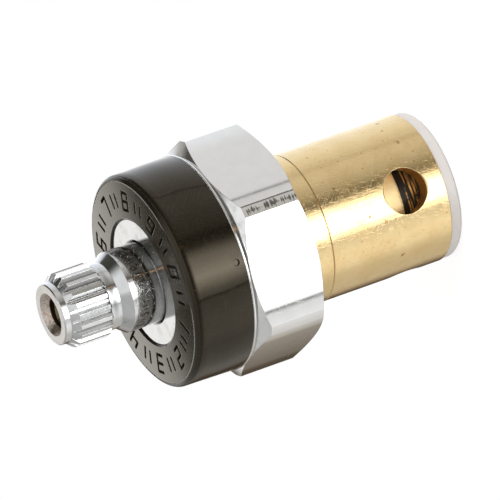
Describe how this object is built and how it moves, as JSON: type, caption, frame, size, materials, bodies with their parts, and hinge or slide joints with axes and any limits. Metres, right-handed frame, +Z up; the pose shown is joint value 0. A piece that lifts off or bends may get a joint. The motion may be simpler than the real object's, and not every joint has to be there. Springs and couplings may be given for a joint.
{
  "type": "faucet stem",
  "caption": "Quarter-turn ceramic-disc faucet stem: splined chrome spindle, black index ring, hexagon bonnet nut, ported brass barrel and white base seal.",
  "frame": {"origin": "centre of the flat foot of the base seal, on the axis", "axes": "+Z up the axis towards the tip of the spindle; one outlet port faces -Y"},
  "size_m": [0.0298, 0.0296, 0.0526],
  "materials": {
    "chrome_stem": "chrome plate, handled: fine scratches and small dull spots",
    "chrome_nut": "bright mirror chrome plate, lathe marks on the corner lands",
    "black_ring": "very dark brown-black moulded plastic, glossy side, satin face",
    "brass": "bare turned brass, satin, with small brown tarnish spots",
    "white_seal": "milky white soft seal, satin, slightly translucent",
    "ceramic": "dark lapped ceramic, polished",
    "steel": "stainless, fine ground",
    "slide_plastic": "natural slide plastic, matt",
    "black_rubber": "greased black rubber"
  },
  "bodies": {
    "cartridge_body": {"housing": "brass", "barrel": "brass", "base_seal": "white_seal", "seal_support_ring": "steel", "fixed_disc": "ceramic", "housing_o_ring": "black_rubber", "stop_pin": "steel", "thrust_washer": "slide_plastic", "slip_washer": "slide_plastic", "bonnet_gasket": "black_rubber", "clip_washer": "steel"},
    "stem": {"spindle": "chrome_stem", "spindle_o_ring_upper": "black_rubber", "spindle_o_ring_lower": "black_rubber", "retaining_clip": "steel", "disc_carrier": "brass", "drive_pin": "steel", "moving_disc": "ceramic"},
    "nut": {"bonnet_nut": "chrome_nut", "index_ring": "black_ring"}
  },
  "joints": [
    {"name": "stem_turn", "type": "hinge", "parent": "cartridge_body", "child": "stem", "pos_m": [0, 0, 0.031], "axis": [0, 0, 1], "range_deg": [0, 90]},
    {"name": "nut_turn", "type": "hinge", "parent": "cartridge_body", "child": "nut", "pos_m": [0, 0, 0.0298], "axis": [0, 0, 1], "continuous": true}
  ]
}
